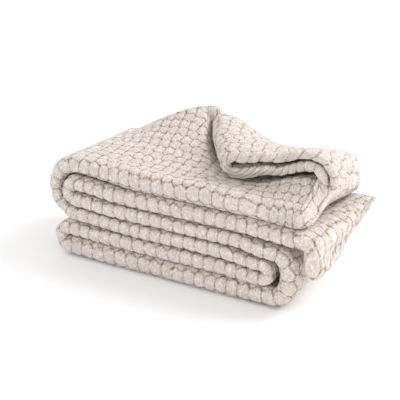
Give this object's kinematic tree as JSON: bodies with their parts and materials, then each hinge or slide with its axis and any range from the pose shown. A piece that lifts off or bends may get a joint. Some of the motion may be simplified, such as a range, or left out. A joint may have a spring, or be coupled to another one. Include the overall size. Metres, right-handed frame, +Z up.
{
  "type": "matelasse blanket",
  "caption": "Matelasse blanket folded into a layered stack, with a corner of its top turned back as a flap.",
  "frame": {"origin": "on the flat underside that the stack rests on, near the middle of its footprint", "axes": "+X along the front folds to the right, +Y from the front folds to the back hems, +Z up"},
  "size_m": [0.4288, 0.1785, 0.2091],
  "materials": {
    "cotton": "quilted weave, matt, warm off-white"
  },
  "bodies": {
    "root": {"blanket": "cotton"}
  },
  "joints": []
}
